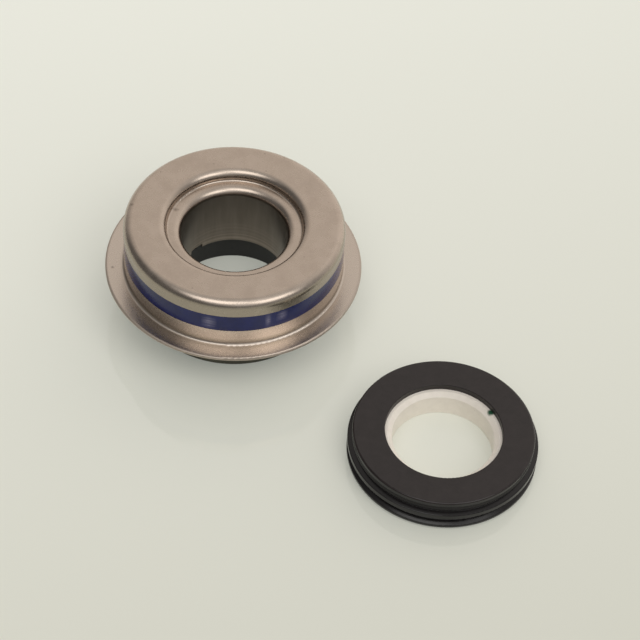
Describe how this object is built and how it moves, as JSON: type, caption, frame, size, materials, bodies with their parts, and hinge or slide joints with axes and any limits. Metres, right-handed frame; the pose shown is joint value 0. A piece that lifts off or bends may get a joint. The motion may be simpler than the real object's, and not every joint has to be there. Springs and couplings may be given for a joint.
{
  "type": "component mechanical seal",
  "caption": "Two-part mechanical shaft seal: flanged steel seal head with a spring-loaded carbon nose, and its rubber-cupped ceramic mating ring.",
  "frame": {"origin": "on the seal head's axis, in the flange's seating face", "axes": "+Z along the shaft's axis from the nose towards the case top, +X from the head towards the mating ring, -Y towards the viewer of both"},
  "size_m": [0.0727, 0.0663, 0.0194],
  "materials": {
    "case_steel": "satin stamped stainless sheet",
    "sleeve_steel": "satin stamped stainless sheet",
    "inner_steel": "plain stamped stainless sheet",
    "spring_steel": "drawn stainless wire",
    "sealant": "glossy dark blue sealing lacquer",
    "carbon": "fine matt carbon-graphite, lapped face",
    "bellows_rubber": "matt black moulded rubber",
    "cup_rubber": "matt black moulded rubber",
    "ceramic": "fired alumina, lapped sealing face"
  },
  "bodies": {
    "head": {"case": "case_steel", "sealant_band": "sealant", "inner_sleeve": "sleeve_steel", "bellows_clamp_ring": "inner_steel", "bellows": "bellows_rubber", "spring": "spring_steel"},
    "nose": {"nose_ring": "carbon", "spring_retainer": "inner_steel"},
    "seat": {"mating_ring": "ceramic", "mating_ring_cup": "cup_rubber"}
  },
  "joints": [
    {"name": "nose_slide", "type": "slide", "parent": "head", "child": "nose", "axis": [0, 0, 1], "range_m": [0, 0.0022], "stiffness_N_per_m": 2500, "springref_m": -0.003, "deforming": ["spring", "bellows"]},
    {"name": "mating_ring_spin", "type": "hinge", "parent": "head", "child": "seat", "pos_m": [0.036, -0.0297, -0.00975], "axis": [0, 0, 1], "continuous": true}
  ]
}
